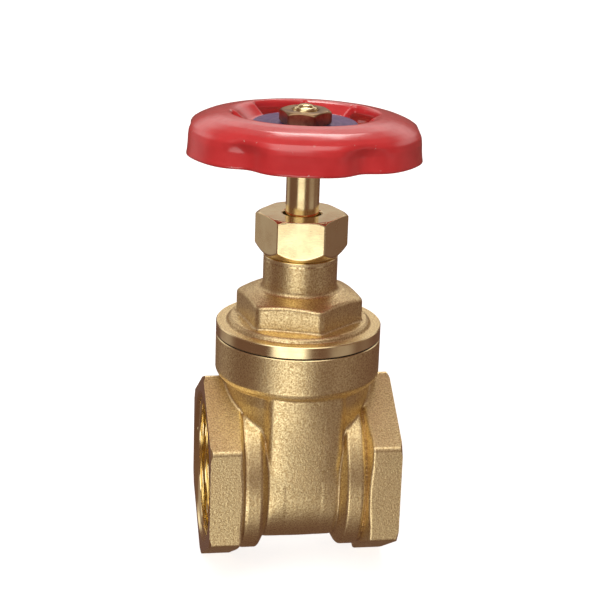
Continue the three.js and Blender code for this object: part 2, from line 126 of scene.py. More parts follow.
def blur(values, step, sigma, axis=0):
    """Gaussian blur along one axis; straight runs stay straight at the ends."""
    reach = max(1, int(round(3 * sigma / step)))
    offsets = np.arange(-reach, reach + 1) * step
    weights = np.exp(-0.5 * (offsets / sigma) ** 2)
    weights /= weights.sum()
    pad = [(0, 0)] * values.ndim
    pad[axis] = (reach, reach)
    padded = np.pad(values, pad, mode="reflect", reflect_type="odd")
    result = np.zeros_like(values)
    for i, weight in enumerate(weights):
        window = [slice(None)] * values.ndim
        window[axis] = slice(i, i + values.shape[axis])
        result += weight * padded[tuple(window)]
    return result


def smooth_curve(low, high, table, sigma):
    """Blurred line through (station, value) pairs: stations, values and slopes."""
    grid = np.arange(low, high, CURVE_STEP)
    stations, values = zip(*table)
    curve = blur(np.interp(grid, stations, values), CURVE_STEP, sigma)
    return grid, curve, np.gradient(curve, CURVE_STEP)


def curve_distance(curve, station, value):
    grid, values, slopes = curve
    slope = np.interp(station, grid, slopes)
    return (value - np.interp(station, grid, values)) / np.sqrt(1 + slope * slope)


def polygon_distance(u, v, points):
    nearest = np.full(u.shape, 1e9)
    inside = np.zeros(u.shape, bool)
    for (u0, v0), (u1, v1) in zip(points, points[-1:] + points[:-1]):
        edge_u, edge_v = u1 - u0, v1 - v0
        off_u, off_v = u - u0, v - v0
        length2 = edge_u * edge_u + edge_v * edge_v
        t = np.clip((off_u * edge_u + off_v * edge_v) / length2, 0, 1)
        nearest = np.minimum(nearest, (off_u - edge_u * t) ** 2 + (off_v - edge_v * t) ** 2)
        above, below, left = v >= v0, v < v1, edge_u * off_v > edge_v * off_u
        inside ^= (above & below & left) | (~above & ~below & ~left)
    return np.where(inside, -1.0, 1.0) * np.sqrt(nearest)


class Profile:
    """A closed outline as a sampled distance field; sigma rounds its corners."""

    def __init__(self, points, low, high, sigma, step=0.06):
        self.low, self.step = low, step
        u, v = (np.arange(low[i], high[i] + step, step) for i in range(2))
        self.shape = (len(u), len(v))
        table = polygon_distance(*np.meshgrid(u, v, indexing="ij"), points)
        self.table = blur(blur(table, step, sigma, 0), step, sigma, 1)

    def at(self, a, b):
        u = np.clip((a - self.low[0]) / self.step, 0, self.shape[0] - 1.001)
        v = np.clip((b - self.low[1]) / self.step, 0, self.shape[1] - 1.001)
        i, j = u.astype(np.int32), v.astype(np.int32)
        fu, fv = u - i, v - j
        t = self.table
        near = t[i, j] * (1 - fu) + t[i + 1, j] * fu
        far = t[i, j + 1] * (1 - fu) + t[i + 1, j + 1] * fu
        return near * (1 - fv) + far * fv


def unit(vectors):
    return vectors / np.maximum(np.linalg.norm(vectors, axis=1), 1e-12)[:, None]


def gradient(field, points, probe=0.1):
    result = np.empty_like(points)
    for i in range(3):
        ahead, behind = points.copy(), points.copy()
        ahead[:, i] += probe
        behind[:, i] -= probe
        result[:, i] = (field(*ahead.T) - field(*behind.T)) / (2 * probe)
    return result


# ==============================================================================================
# Field to quad mesh (surface nets)
# ==============================================================================================
SLAB = 12       # grid layers sampled at a time
CELL_CORNERS = [(c & 1, c >> 1 & 1, c >> 2) for c in range(8)]
CELL_EDGES = [(c, c + bit) for bit in (1, 2, 4) for c in range(8) if not c & bit]


def sample(field, axes):
    shape = [len(axis) for axis in axes]
    values = np.empty(shape, np.float32)
    y, z = (grid.ravel() for grid in np.meshgrid(axes[1], axes[2], indexing="ij"))
    for start in range(0, shape[0], SLAB):
        xs = axes[0][start:start + SLAB]
        layers = len(xs)
        found = field(np.repeat(xs, len(y)), np.tile(y, layers), np.tile(z, layers))
        values[start:start + SLAB] = found.reshape(layers, *shape[1:])
    return values


def crossing_centres(values, cells):
    """Mean of the zero crossings on each cell's edges, as a place within the cell."""
    corner_values = np.stack([values[tuple((cells + c).T)] for c in CELL_CORNERS], 1)
    corners = np.array(CELL_CORNERS, float)
    total = np.zeros((len(cells), 3))
    count = np.zeros(len(cells))
    for a, b in CELL_EDGES:
        va, vb = corner_values[:, a], corner_values[:, b]
        crossed = (va < 0) != (vb < 0)
        t = va[crossed] / (va[crossed] - vb[crossed])
        total[crossed] += corners[a] + (corners[b] - corners[a]) * t[:, None]
        count[crossed] += 1
    return total / count[:, None]


def crossing_quads(inside, cell_index):
    """One quad round every grid edge that passes through the surface."""
    shape = inside.shape
    quads = []
    for axis in range(3):
        u, v = (axis + 1) % 3, (axis + 2) % 3
        edges = np.argwhere(np.diff(inside, axis=axis))
        edges = edges[(edges[:, u] > 0) & (edges[:, v] > 0)
                      & (edges[:, u] < shape[u] - 1) & (edges[:, v] < shape[v] - 1)]
        around = []
        for du, dv in [(-1, -1), (0, -1), (0, 0), (-1, 0)]:
            cell = edges.copy()
            cell[:, u] += du
            cell[:, v] += dv
            around.append(cell_index[tuple(cell.T)])
        around = np.stack(around, 1)
        flip = ~inside[tuple(edges.T)]
        around[flip] = around[flip][:, ::-1]
        quads.append(around)
    return np.concatenate(quads)


def pull(field, points, step, probe):
    """Move points onto the zero level in two limited Newton steps."""
    for _ in range(2):
        distance = field(*points.T)
        slope = gradient(field, points, probe)
        move = slope * (distance / np.maximum((slope ** 2).sum(1), 0.05))[:, None]
        length = np.linalg.norm(move, axis=1)
        move *= np.minimum(1, 0.6 * step / np.maximum(length, 1e-9))[:, None]
        points = points - move
    return points


def surface_mesh(field, low, high, step, passes=1, probe=0.1):
    """Points, quads and normals of the zero level of a field inside a box."""
    low = np.array(low, float) + 0.37 * step * 0.1      # slightly off round coordinates
    shape = np.ceil((np.array(high, float) - low) / step).astype(int) + 1
    values = sample(field, [low[i] + step * np.arange(shape[i]) for i in range(3)])
    inside = values < 0
    count = np.zeros(shape - 1, np.int8)
    for corner in CELL_CORNERS:
        count += inside[tuple(slice(c, n - 1 + c) for c, n in zip(corner, shape))]
    active = (count > 0) & (count < 8)
    cells = np.argwhere(active)
    cell_index = np.full(active.shape, -1, np.int32)
    cell_index[active] = np.arange(len(cells))
    points = (cells + crossing_centres(values, cells)) * step + low
    quads = crossing_quads(inside, cell_index)

    points = pull(field, points, step, probe)
    size = len(points)
    for _ in range(passes):
        total = np.zeros_like(points)
        number = np.zeros(size)
        for a, b in [(0, 1), (1, 2), (2, 3), (3, 0)]:
            qa, qb = quads[:, a], quads[:, b]
            for i in range(3):
                total[:, i] += (np.bincount(qa, points[qb, i], size)
                                + np.bincount(qb, points[qa, i], size))
            number += np.bincount(qa, minlength=size) + np.bincount(qb, minlength=size)
        evened = 0.45 * points + 0.55 * total / number[:, None]
        points = pull(field, evened, step, probe)
    return points, quads, unit(gradient(field, points, probe))


# ==============================================================================================
# Solids
# ==============================================================================================
def signed_volume(points, faces):
    volume = 0.0
    for group in faces:
        first = points[group[:, 0]]
        for i in range(1, group.shape[1] - 1):
            area = np.cross(points[group[:, i]], points[group[:, i + 1]])
            volume += np.einsum("ij,ij->i", first, area).sum()
    return volume


def new_object(name, mesh):
    piece = bpy.data.objects.new(name, mesh)
    bpy.context.scene.collection.objects.link(piece)
    return piece


def solid(points, faces, name="cutter"):
    """Object from points and a list of face arrays, faces turned outwards."""
    if signed_volume(points, faces) < 0:
        faces = [group[:, ::-1] for group in faces]
    mesh = bpy.data.meshes.new(name)
    mesh.vertices.add(len(points))
    mesh.vertices.foreach_set("co", np.ascontiguousarray(points, np.float32).ravel())
    loops = np.concatenate([group.ravel() for group in faces]).astype(np.int32)
    counts = np.concatenate([np.full(len(group), group.shape[1]) for group in faces])
    starts = np.concatenate([[0], np.cumsum(counts)[:-1]]).astype(np.int32)
    mesh.loops.add(len(loops))
    mesh.loops.foreach_set("vertex_index", loops)
    mesh.polygons.add(len(starts))
    mesh.polygons.foreach_set("loop_start", starts)
    mesh.update(calc_edges=True)
    mesh.validate()
    return new_object(name, mesh)


def boolean(target, tool, operation="DIFFERENCE"):
    """Apply one closed solid to another; the tool is used up."""
    modifier = target.modifiers.new("b", "BOOLEAN")
    modifier.operation = operation
    modifier.object = tool
    modifier.solver = "MANIFOLD"
    graph = bpy.context.evaluated_depsgraph_get()
    result = bpy.data.meshes.new_from_object(target.evaluated_get(graph))
    target.modifiers.clear()
    old = target.data
    target.data = result
    bpy.data.meshes.remove(old)
    tool_mesh = tool.data
    bpy.data.objects.remove(tool)
    bpy.data.meshes.remove(tool_mesh)


def weld(piece):
    """Join vertices closer than half a micrometre, which drops slivers left by the cuts."""
    edit = bmesh.new()
    edit.from_mesh(piece.data)
    bmesh.ops.remove_doubles(edit, verts=edit.verts, dist=0.0005)
    edit.to_mesh(piece.data)
    edit.free()


def stack(rows, closed=False, name="cutter"):
    """Solid from (M, N, 3) rings; closed joins last to first, otherwise both ends are capped."""
    M, N, _ = rows.shape
    points = rows.reshape(-1, 3)
    j = np.arange(N)
    I, J = np.meshgrid(np.arange(M if closed else M - 1), j, indexing="ij")
    I2, J2 = (I + 1) % M, (J + 1) % N
    quads = np.stack([I * N + J, I * N + J2, I2 * N + J2, I2 * N + J], -1).reshape(-1, 4)
    faces = [quads]
    if not closed:
        points = np.concatenate([points, rows[0].mean(0)[None], rows[-1].mean(0)[None]])
        last = (M - 1) * N
        faces.append(np.concatenate([
            np.stack([np.full(N, M * N), (j + 1) % N, j], 1),
            np.stack([np.full(N, M * N + 1), last + j, last + (j + 1) % N], 1)]))
    return solid(points, faces, name)


def circle(count):
    return np.arange(count) / count * TAU


def rings(stations, count, axis="Z"):
    """(height, radius or radii) pairs as rings about Z, or about X with height along X."""
    angles = circle(count)
    rows = []
    for height, radius in stations:
        radius = np.broadcast_to(np.asarray(radius, float), (count,))
        parts = [radius * np.cos(angles), radius * np.sin(angles), np.full(count, float(height))]
        rows.append(np.stack(parts[2:] + parts[:2] if axis == "X" else parts, -1))
    return np.array(rows)


def rotate(vector, angle):
    c, s = math.cos(angle), math.sin(angle)
    return np.array([c * vector[0] - s * vector[1], s * vector[0] + c * vector[1]])


def rounded(outline, radius=0.0):
    """Closed outline of (u, v[, corner radius]) with its corners rounded: points and normals."""
    corners = [np.array(corner[:2], float) for corner in outline]
    radii = [corner[2] if len(corner) > 2 else radius for corner in outline]
    points, normals = [], []

    def add(point, direction):
        points.append(point)
        normals.append(np.array([direction[1], -direction[0]]))

    for i, corner in enumerate(corners):
        arrive = corner - corners[i - 1]
        leave = corners[(i + 1) % len(corners)] - corner
        length_in, length_out = np.linalg.norm(arrive), np.linalg.norm(leave)
        arrive, leave = arrive / length_in, leave / length_out
        turn = math.acos(max(-1, min(1, float(arrive @ leave))))
        if turn < 0.02 or radii[i] <= 0:
            along = arrive + leave
            add(corner, along / np.linalg.norm(along))
            continue
        setback = min(radii[i] * math.tan(turn / 2), 0.48 * length_in, 0.48 * length_out)
        start = corner - arrive * setback
        steps = int(math.ceil(turn / math.radians(90) * 3))
        arc_radius = setback / math.tan(turn / 2)
        hand = 1 if (arrive[0] * leave[1] - arrive[1] * leave[0]) > 0 else -1
        centre = start + arc_radius * hand * np.array([-arrive[1], arrive[0]])
        for j in range(steps + 1):
            angle = hand * turn * j / steps
            add(centre + rotate(start - centre, angle), rotate(arrive, angle))
    return np.array(points), np.array(normals)


def turned_cutter(outline, count, axis="Z"):
    """Solid from a (radius, height[, corner radius]) outline that starts and ends on the axis."""
    points = rounded(outline)[0][1:-1]
    return stack(rings([(height, radius) for radius, height in points], count, axis))


def cylinder(radius, low, high, count, axis="Z"):
    return turned_cutter([(0, low), (radius, low), (radius, high), (0, high)], count, axis)


def box(low, high):
    points = np.array([[x, y, z] for x in (low[0], high[0]) for y in (low[1], high[1])
                       for z in (low[2], high[2])], float)
    return solid(points, [np.array([[0, 1, 3, 2], [4, 6, 7, 5], [0, 4, 5, 1],
                                    [2, 3, 7, 6], [0, 2, 6, 4], [1, 5, 7, 3]])])


def prism(outline, low, high, axis):
    """Extruded outline: (y, z) along X, or (x, z) along Y."""
    rows = [[(end, u, v) if axis == "X" else (u, end, v) for u, v in outline]
            for end in (low, high)]
    return stack(np.array(rows, float))


def thread_wave(height, pitch, angles, hand=1):
    """Clipped triangle wave from -1 to 1 that winds round the axis."""
    phase = (height / pitch - hand * angles / TAU) % 1.0
    return np.clip(1.35 * (2 * np.abs(2 * phase - 1) - 1), -1, 1)


def thread(bottom, top, radius, depth, pitch, count, step, runout, hand=1):
    """Stations of a screw thread that fades out over runout at both ends."""
    angles = circle(count)
    stations = []
    for z in np.arange(bottom, top + step * 0.5, step):
        fade_in = min(1.0, max(0.0, (z - bottom) / runout))
        fade_out = min(1.0, max(0.0, (top - z) / runout))
        wave = thread_wave(z, pitch, angles, hand)
        stations.append((z, radius + depth / 2 * fade_in * fade_out * wave))
    return stations


# ==============================================================================================
# Normals, material slots and hand-over
# ==============================================================================================
def fetch(items, attribute, width=1, kind=np.float32):
    values = np.empty(len(items) * width, kind)
    items.foreach_get(attribute, values)
    return values.reshape(-1, width) if width > 1 else values


def smooth_faces(mesh):
    mesh.polygons.foreach_set("use_smooth", np.ones(len(mesh.polygons), bool))


def smooth_by_angle(mesh, degrees):
    smooth_faces(mesh)
    mesh.set_sharp_from_angle(angle=math.radians(degrees))


def face_data(mesh):
    return fetch(mesh.polygons, "center", 3), fetch(mesh.polygons, "normal", 3)


def field_normals(mesh, field, tolerance=0.03, spread=40.0, sharp=28.0):
    """Corner normals from the field on cast faces, crisp on cut ones. Returns the cast faces."""
    smooth_by_angle(mesh, sharp)
    corner_normals = fetch(mesh.corner_normals, "vector", 3).astype(float)
    points = fetch(mesh.vertices, "co", 3).astype(float)
    on_level = np.abs(field(*points.T)) < tolerance
    normals = unit(gradient(field, points))
    vertex = fetch(mesh.loops, "vertex_index", kind=np.int32)
    face_normals = face_data(mesh)[1]
    sides = fetch(mesh.polygons, "loop_total", kind=np.int32)
    face = np.repeat(np.arange(len(sides)), sides)
    agree = (normals[vertex] * face_normals[face]).sum(1) > math.cos(math.radians(spread))
    on_field = on_level[vertex] & agree
    # a face counts as cast only if every corner does
    cut = np.zeros(len(mesh.polygons), bool)
    cut[face[~on_field]] = True
    on_field &= ~cut[face]
    corner_normals[on_field] = normals[vertex][on_field]
    mesh.normals_split_custom_set(corner_normals.tolist())
    return ~cut


def finish_piece(piece, node, materials, index=None, normals=None):
    """Place, scale and dress a piece, and put it in the place of its CAD node."""
    mesh = piece.data
    if normals is not None:
        smooth_faces(mesh)
        mesh.normals_split_custom_set_from_vertices(normals.tolist())
    points = fetch(mesh.vertices, "co", 3)
    points[:, 2] += LIFT
    mesh.vertices.foreach_set("co", (points * MM).ravel())
    mesh.materials.clear()
    for material in materials:
        mesh.materials.append(material)
    if index is not None:
        mesh.polygons.foreach_set("material_index", index.astype(np.int32))
    mesh.update()
    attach(piece, BODY_OF[node])
    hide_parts(node)


def field_piece(name, node, materials, field, low, high, step,
                pick=None, passes=1, probe=0.06):
    """A whole piece from a field; pick(centres, normals) gives each face's material index."""
    points, quads, normals = surface_mesh(field, low, high, step, passes, probe)
    piece = solid(points, [quads], name)
    index = pick(*face_data(piece.data)) if pick else None
    finish_piece(piece, node, materials, index, normals)


def ring_piece(name, node, material, outline, count, corner):
    """A turned ring from a closed (radius, height) outline."""
    points, normals = rounded(outline, corner)
    piece = stack(rings([(z, r) for r, z in points], count), closed=True, name=name)
    normals = rings([(z, r) for r, z in normals], count).reshape(-1, 3)
    if (fetch(piece.data.vertex_normals, "vector", 3) * normals).sum() < 0:
        normals = -normals
    finish_piece(piece, node, [material], None, normals)


# ==============================================================================================
# Materials (object coordinates in metres, so noise scales are per metre)
# ==============================================================================================
class Tree:
    """Short ways to add shader nodes; a value may be a constant or another node's output."""

    def __init__(self, owner):
        owner.use_nodes = True
        self.tree = owner.node_tree

    def put(self, socket, value):
        if isinstance(value, bpy.types.NodeSocket):
            self.tree.links.new(value, socket)
        else:
            socket.default_value = (*value, 1.0) if socket.type == "RGBA" else value

    def node(self, kind, inputs=None, **settings):
        made = self.tree.nodes.new("ShaderNode" + kind)
        for name, value in settings.items():
            setattr(made, name, value)
        for key, value in (inputs or {}).items():
            self.put(made.inputs[key], value)
        return made

    def math(self, operation, a, b=0.0):
        return self.node("Math", {0: a, 1: b}, operation=operation).outputs[0]

    def ramp(self, value, span, to=(0.0, 1.0)):
        """Smooth step over span, giving values from to[0] up to to[1]."""
        return self.node("MapRange", {
            "Value": value, "From Min": span[0], "From Max": span[1],
            "To Min": to[0], "To Max": to[1]}, interpolation_type="SMOOTHSTEP").outputs[0]

    def mix(self, factor, below, above, blend="MIX"):
        # sockets 6, 7 and output 2 are the colour ones
        return self.node("Mix", {"Factor": factor, 6: below, 7: above},
                         data_type="RGBA", blend_type=blend).outputs[2]

    def camera_switch(self, seen, other):
        """One shader for what the camera sees directly, another for all other rays."""
        direct = self.node("LightPath").outputs["Is Camera Ray"]
        return self.node("MixShader", {0: direct, 1: other, 2: seen}).outputs[0]


class Material(Tree):
    def __init__(self, name):
        self.material = bpy.data.materials.new(name)
        super().__init__(self.material)
        self.coord = self.node("TexCoord").outputs["Object"]

    def noise(self, scale, detail=2.0, rough=0.5, vector=None, stretch=None):
        vector = vector or self.coord
        if stretch:
            vector = self.node("Mapping", {"Vector": vector, "Scale": stretch}).outputs[0]
        return self.node("TexNoise", {"Vector": vector, "Scale": scale, "Detail": detail,
                                      "Roughness": rough}).outputs[0]

    def layer(self, below, mask, span, colour, to=(0.0, 1.0)):
        """Lay a colour over another where the mask rises through span."""
        return self.mix(self.ramp(mask, span, to), below, colour)

    def bump(self, height, distance, strength, normal=None):
        inputs = {"Height": height, "Distance": distance, "Strength": strength}
        if normal is not None:
            inputs["Normal"] = normal
        return self.node("Bump", inputs).outputs[0]

    def pointy(self):
        """Above 0.5 on convex edges, below in hollows."""
        return self.node("NewGeometry").outputs["Pointiness"]

    def radial(self, axis):
        """(distance from the axis, place along it), for turning marks."""
        x, y, z = self.node("SeparateXYZ", {0: self.coord}).outputs
        a, b, along = x, y, z
        if axis == "X":
            a, b, along = y, self.math("SUBTRACT", z, LIFT * MM), x
        squares = self.math("ADD", self.math("MULTIPLY", a, a), self.math("MULTIPLY", b, b))
        radius = self.math("SQRT", squares)
        return self.node("CombineXYZ", {0: radius, 1: along}).outputs[0]

    def surface(self, values):
        """Set the Principled inputs and return the finished material."""
        for name, value in values.items():
            self.put(self.tree.nodes["Principled BSDF"].inputs[name], value)
        return self.material


EDGE_SHINE = (1.0, 0.86, 0.55)      # brass rubbed bright on its edges


def cast_brass():
    """Sand-cast skin: fine grain, pits, painted shade in the hollows and rubbed edges."""
    k = Material("cast_brass_skin")
    grain = k.noise(scale=1600, rough=0.6)
    pits = k.noise(scale=760, detail=3.0, rough=0.62)
    blotch = k.noise(scale=70, detail=3.0)
    dark, light = (0.60, 0.435, 0.20), (1.0, 0.86, 0.49)
    pit, stain = (0.44, 0.26, 0.12), (0.80, 0.58, 0.30)
    # the second colour here is painted shade for the hollows, not a stain
    rubbed, painted_hollow_shade = (1.0, 0.88, 0.60), (0.36, 0.19, 0.085)
    colour = k.layer(dark, grain, span=(0.30, 0.70), colour=light)
    colour = k.layer(colour, pits, span=(0.58, 0.76), colour=pit, to=(0.0, 0.5))
    colour = k.layer(colour, blotch, span=(0.35, 0.7), colour=stain, to=(0.0, 0.20))
    colour = k.layer(colour, k.pointy(), span=(0.515, 0.56), colour=rubbed, to=(0.0, 0.35))
    # painted shade: hollows and creases darkened brown where less light reaches them
    colour = k.layer(colour, k.pointy(), span=(0.44, 0.49), colour=painted_hollow_shade, to=(0.55, 0.0))
    normal = k.bump(pits, distance=0.00017, strength=0.55)
    normal = k.bump(grain, distance=0.00010, strength=0.8, normal=normal)
    return k.surface({"Base Color": colour, "Metallic": 1.0, "Normal": normal,
                      "Roughness": k.ramp(grain, span=(0.25, 0.75), to=(0.46, 0.33))})


def turned_brass(name, axis, rough):
    """Lathe-turned brass with fine rings about one axis."""
    k = Material(name)
    vector = k.radial(axis)
    marks = k.noise(scale=5200, rough=0.6, vector=vector)
    wide = k.noise(scale=380, vector=vector)
    smear = k.noise(scale=160, detail=3.0, rough=0.55)
    nicks = k.noise(scale=1900)
    clean, dull, nick = (0.92, 0.78, 0.44), (0.74, 0.52, 0.25), (0.42, 0.24, 0.09)
    colour = k.layer(clean, smear, span=(0.35, 0.75), colour=dull, to=(0.0, 0.35))
    colour = k.layer(colour, nicks, span=(0.70, 0.80), colour=nick, to=(0.0, 0.5))
    colour = k.layer(colour, k.pointy(), span=(0.53, 0.60), colour=EDGE_SHINE, to=(0.0, 0.5))
    roughness = k.math("ADD", k.ramp(smear, span=(0.3, 0.7), to=(rough - 0.03, rough + 0.07)),
                       k.ramp(marks, span=(0.3, 0.7), to=(-0.03, 0.04)))
    normal = k.bump(wide, distance=0.00002, strength=0.3)
    normal = k.bump(marks, distance=0.000010, strength=0.5, normal=normal)
    return k.surface({"Base Color": colour, "Metallic": 1.0, "Roughness": roughness,
                      "Normal": normal})


def milled_brass():
    """Milled flats with fine level lines."""
    k = Material("milled_brass")
    lines = k.noise(scale=1000, rough=0.6, stretch=(0.5, 0.5, 6.0))
    smear = k.noise(scale=140, detail=3.0, rough=0.55)
    nicks = k.noise(scale=2100)
    clean, dull, nick = (0.91, 0.78, 0.45), (0.76, 0.56, 0.28), (0.45, 0.27, 0.10)
    colour = k.layer(clean, smear, span=(0.35, 0.75), colour=dull, to=(0.0, 0.4))
    colour = k.layer(colour, nicks, span=(0.68, 0.78), colour=nick, to=(0.0, 0.55))
    colour = k.layer(colour, k.pointy(), span=(0.53, 0.60), colour=EDGE_SHINE, to=(0.0, 0.6))
    roughness = k.math("ADD", k.ramp(smear, span=(0.3, 0.7), to=(0.17, 0.25)),
                       k.ramp(lines, span=(0.3, 0.7), to=(-0.03, 0.05)))
    return k.surface({"Base Color": colour, "Metallic": 1.0, "Roughness": roughness,
                      "Normal": k.bump(lines, distance=0.000016, strength=0.5)})


def worn_bronze():
    """Dark bronze, bright on its edges."""
    k = Material("worn_bronze")
    smear = k.noise(scale=260, detail=4.0, rough=0.6)
    fine = k.noise(scale=2200, rough=0.55)
    dark, light = (0.25, 0.155, 0.085), (0.46, 0.31, 0.165)
    speck, rubbed = (0.64, 0.46, 0.25), (0.98, 0.82, 0.50)
    colour = k.layer(dark, smear, span=(0.3, 0.72), colour=light)
    colour = k.layer(colour, fine, span=(0.60, 0.75), colour=speck, to=(0.0, 0.4))
    colour = k.layer(colour, k.pointy(), span=(0.515, 0.565), colour=rubbed, to=(0.0, 0.95))
    normal = k.bump(smear, distance=0.00006, strength=0.4)
    normal = k.bump(fine, distance=0.00002, strength=0.5, normal=normal)
    return k.surface({"Base Color": colour, "Metallic": 1.0, "Normal": normal,
                      "Roughness": k.ramp(smear, span=(0.3, 0.7), to=(0.28, 0.42))})


def red_enamel():
    """Glossy red paint with orange peel, dust and small chips on the edges."""
    k = Material("red_enamel")
    wave = k.noise(scale=95)
    peel = k.noise(scale=430)
    dust = k.noise(scale=2600, detail=1.0)
    deep, bright = (0.83, 0.036, 0.043), (0.93, 0.052, 0.059)
    speck, chipped = (0.52, 0.016, 0.024), (0.86, 0.55, 0.50)
    spots = k.ramp(k.noise(scale=330, detail=3.0, rough=0.6), span=(0.665, 0.70))
    chips = k.math("MULTIPLY", spots, k.ramp(k.pointy(), span=(0.50, 0.53)))
    colour = k.layer(deep, wave, span=(0.3, 0.7), colour=bright)
    colour = k.layer(colour, dust, span=(0.66, 0.80), colour=speck, to=(0.0, 0.25))
    colour = k.mix(chips, colour, chipped)
    normal = k.bump(wave, distance=0.00012, strength=0.25)
    normal = k.bump(peel, distance=0.000025, strength=0.35, normal=normal)
    return k.surface({
        "Base Color": colour, "Roughness": k.ramp(peel, span=(0.3, 0.7), to=(0.30, 0.38)),
        "IOR": 1.52, "Coat Weight": 0.8, "Coat IOR": 1.62, "Coat Roughness": 0.09,
        "Normal": normal, "Coat Normal": normal})


def plate_lacquer():
    """Violet-blue lacquer on turned metal, lightly scratched."""
    k = Material("plate_blue_lacquer")
    smear = k.noise(scale=210, detail=3.0, rough=0.6)
    marks = k.noise(scale=1500, vector=k.radial("Z"))
    scratches = k.noise(scale=900, rough=0.6, stretch=(1.0, 7.0, 1.0))
    dark, light, scratch = (0.105, 0.070, 0.190), (0.160, 0.110, 0.270), (0.40, 0.40, 0.55)
    colour = k.layer(dark, smear, span=(0.3, 0.7), colour=light)
    colour = k.layer(colour, scratches, span=(0.70, 0.80), colour=scratch, to=(0.0, 0.25))
    return k.surface({"Base Color": colour, "Metallic": 0.35,
                      "Roughness": k.ramp(marks, span=(0.3, 0.7), to=(0.34, 0.46)),
                      "Normal": k.bump(marks, distance=0.00002, strength=0.4)})


def fibre(name, dark, light, scale, rough):
    k = Material(name)
    strands = k.noise(scale=scale, detail=4.0, rough=0.65, stretch=(1.0, 1.0, 3.0))
    fine = k.noise(scale=scale * 3, rough=0.6)
    return k.surface({
        "Base Color": k.layer(dark, strands, span=(0.3, 0.7), colour=light),
        "Roughness": k.ramp(fine, span=(0.3, 0.7), to=(rough - 0.1, rough + 0.1)),
        "Normal": k.bump(fine, distance=0.00006, strength=0.6)})


CAST = cast_brass()
TURNED_Z = turned_brass("turned_brass_z", axis="Z", rough=0.17)
TURNED_X = turned_brass("turned_brass_x", axis="X", rough=0.14)
MILLED = milled_brass()
BRONZE = worn_bronze()
RED = red_enamel()
PLATE = plate_lacquer()
GASKET = fibre("gasket_fibre", dark=(0.030, 0.020, 0.014), light=(0.075, 0.050, 0.034),
               scale=900, rough=0.8)
PACKING = fibre("packing_braid", dark=(0.62, 0.60, 0.54), light=(0.80, 0.78, 0.72),
                scale=1300, rough=0.6)


# ==============================================================================================
# Body
# ==============================================================================================
SHOULDER = 42.5         # top of the gate chamber casting
BOWL_RADIUS = 29.3      # chamber below the pipe axis, and its half width along Y above
CHAMBER_HALF = 14.9     # half thickness of the chamber along X
PORT_HEX = 34.4         # half across the flats of the hexagons round the ports
SEAT_RADIUS = 25.6
BORE_RADIUS = 21.6
CAVITY_RADIUS = 26.5
CAVITY_HALF = 10.5
OPEN_TOP = 50           # inner cutters end here, inside the neck opening
RIB_HALF = 1.5          # ribs at +Y and -Y that stay standing in the cavity
RIB_TOP = 42
PORT_PITCH = 2.309
CHAMFER_START = 37.0    # |x| where the port thread meets its mouth chamfer
FINE_PITCH = 1.5        # bonnet and gland threads

# (height, half width along X) of the flanks that widen towards the neck
FLANK = smooth_curve(-30, 70, [
    (-30, 13.6), (4, 13.6), (10, 14.0), (15.5, 15.0), (20, 17.3), (25, 20.9), (30, 24.6),
    (34.6, 27.9), (38, 30.2), (40.4, 31.3), (42.5, 31.6), (70, 31.6)], sigma=1.1)
# (|x|, radius about the pipe axis)
PIPE_END = Profile([
    (8, 0), (8, 28.3), (14.3, 28.6), (16.6, 32.7), (17.4, 33.4), (22.9, 33.4), (23.6, 33.1),
    (25.0, 31.3), (28.5, 31.0), (28.5, 0)], (0, 0), (45, 60), sigma=0.22)
# (radius about the stem, height)
NECK = Profile([
    (0, 39.4), (30.3, 39.4), (32.0, 40.7), (33.0, 42.7), (33.0, 60.5), (0, 60.5)],
    (0, -45), (60, 64), sigma=0.30, step=0.08)
COS_60, SIN_60 = 0.5, math.sqrt(3) / 2

# Cutters, as (radius, height) or (radius, |x|)
NECK_FACE = [(0, 57.1), (32.7, 57.1), (33.2, 56.65), (48, 56.65), (48, 66), (0, 66)]
PORT_FACE = [(0, 38.0), (38.0, 38.0), (39.2, 37.2), (52, 37.2), (52, 46), (0, 46)]
SEAT_RIM = [(0, 2.0), (25.35, 2.0), (SEAT_RADIUS, 2.3), (SEAT_RADIUS, 14), (0, 14)]
# right half of the opening above the seats, (x, z) from the top down
THROAT = [(25.4, OPEN_TOP), (25.4, 40.5), (20, 32.5), (10.4, 22)]


def body_field(x, y, z):
    ax, ay = np.abs(x), np.abs(y)
    pipe_r, stem_r = np.hypot(y, z), np.hypot(x, y)

    # gate chamber, slightly slimmer away from its middle, with its flanks
    bowl = np.where(z < 0, pipe_r, ay) - (BOWL_RADIUS - 0.0022 * x * x)
    slab = rounded_corner(bowl, ax - CHAMBER_HALF, 2.4)
    slab = smax(slab, stem_r - 31.4, 2.0)
    slab = np.maximum(slab, z - SHOULDER)
    flank = curve_distance(FLANK, z, ax)
    flank = smax(flank, stem_r - 29.4 - 0.12 * np.clip(z - 34.0, -14.0, 0.0), 1.2)
    flank = smax(np.maximum(flank, z - SHOULDER), 6.0 - z, 4.0)
    chamber = smin(slab, flank, 2.2)

    # round collar and hexagon at each port; the hexagon starts nearer the middle at -X
    flats = smax(ay, np.abs(COS_60 * y + SIN_60 * z), 1.3)
    flats = smax(flats, np.abs(COS_60 * y - SIN_60 * z), 1.3) - PORT_HEX
    hex_start = (25.4 - 0.45 * (1 - np.tanh(x / 5.0))
                 + 0.30 * (np.minimum(pipe_r, 36.5) - PORT_HEX))
    flats = smax(flats, hex_start - ax, 1.1)
    flats = np.maximum(flats, ax - 40.5)
    ends = smin(PIPE_END.at(ax, pipe_r), flats, 0.9)

    return smin(smin(chamber, ends, 1.5), NECK.at(stem_r, z), 1.3)


